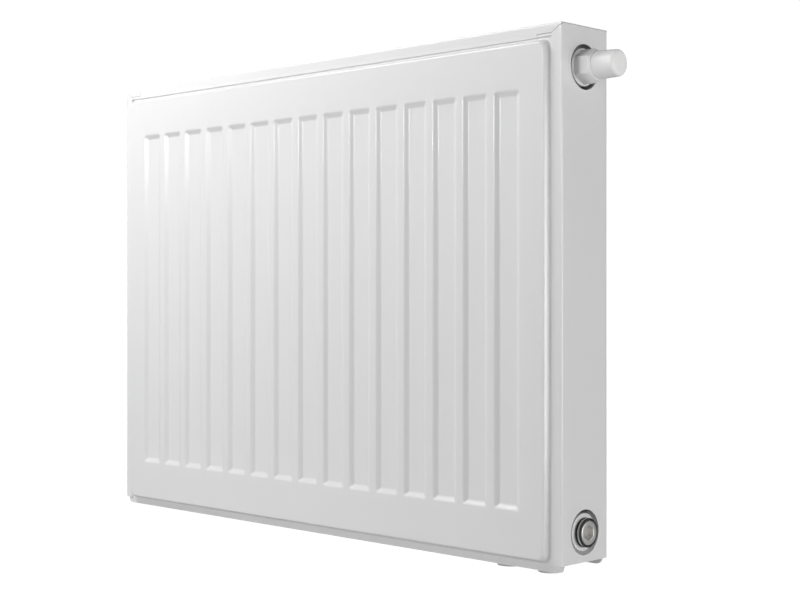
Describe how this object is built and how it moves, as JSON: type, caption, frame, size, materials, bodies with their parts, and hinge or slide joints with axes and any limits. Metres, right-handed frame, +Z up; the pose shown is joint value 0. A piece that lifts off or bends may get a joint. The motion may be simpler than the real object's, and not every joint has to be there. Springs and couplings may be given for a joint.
{
  "type": "panel radiator with integrated valve",
  "caption": "Wall-hung steel panel radiator with ribbed water panels, a convector, slotted top grille, folded side covers, an integrated valve under a screw cap and bottom connections.",
  "frame": {"origin": "on the plane of the hanging lugs' tongues, mid-length, level with the bottom edge of the water panels' seams", "axes": "+X along the radiator towards the valve end, +Y towards the wall, +Z up"},
  "size_m": [0.724, 0.09, 0.507],
  "materials": {
    "white_paint": "satin white powder coat",
    "white_plastic": "satin moulded plastic",
    "steel": "turned steel",
    "spring_steel": "drawn spring steel",
    "nickel_plate": "nickel plate over brass",
    "brass": "turned brass",
    "black_rubber": "moulded rubber"
  },
  "bodies": {
    "radiator": {"front_outer_sheet": "white_paint", "front_inner_sheet": "white_paint", "rear_inner_sheet": "white_paint", "rear_outer_sheet": "white_paint", "convector": "white_paint", "side_cover_right": "white_paint", "side_cover_left": "white_paint", "top_grille": "white_paint", "valve_housing": "white_paint", "drain_hub": "white_paint", "vent_hub": "white_paint", "blind_hub": "white_paint", "return_stub": "white_paint", "supply_stub": "white_paint", "stub_bracket": "white_paint", "riser_pipe": "white_paint", "lug_upper_left": "white_paint", "lug_lower_left": "white_paint", "lug_upper_right": "white_paint", "lug_lower_right": "white_paint", "return_spring": "spring_steel", "grille_clip_left": "spring_steel", "grille_clip_right": "spring_steel", "blind_plug_right": "nickel_plate", "blind_plug_left": "nickel_plate", "air_vent_plug": "nickel_plate", "valve_insert": "brass", "gland_nut": "brass", "insert_o_ring": "black_rubber", "gland_o_ring": "black_rubber", "plug_seal_right": "black_rubber", "plug_guard_ring_right": "black_rubber", "plug_seal_left": "black_rubber", "plug_guard_ring_left": "black_rubber", "air_vent_seal": "black_rubber"},
    "spindle": {"spindle": "steel", "valve_disc": "black_rubber"},
    "cap": {"protective_cap": "white_plastic"},
    "presetting": {"presetting_ring": "white_plastic"},
    "bleed_screw": {"bleed_screw": "steel"},
    "vent_nozzle": {"vent_nozzle": "white_plastic"}
  },
  "joints": [
    {"name": "valve_stroke", "type": "slide", "parent": "radiator", "child": "spindle", "axis": [1, 0, 0], "range_m": [0, 0.003], "deforming": ["return_spring"]},
    {"name": "cap_turn", "type": "hinge", "parent": "spindle", "child": "cap", "pos_m": [0.335, -0.0495, 0.462], "axis": [1, 0, 0], "range_deg": [0, 720]},
    {"name": "presetting_turn", "type": "hinge", "parent": "radiator", "child": "presetting", "pos_m": [0.335, -0.0495, 0.462], "axis": [1, 0, 0], "range_deg": [0, 315]},
    {"name": "bleed_screw_turn", "type": "hinge", "parent": "radiator", "child": "bleed_screw", "pos_m": [-0.335, -0.0495, 0.462], "axis": [-1, 0, 0], "range_deg": [0, 360]},
    {"name": "vent_nozzle_turn", "type": "hinge", "parent": "radiator", "child": "vent_nozzle", "pos_m": [-0.335, -0.0495, 0.462], "axis": [-1, 0, 0], "continuous": true}
  ],
  "couplings": [
    {"joint": "cap_turn", "follows": "valve_stroke", "rad_per_m": 4188.7}
  ]
}
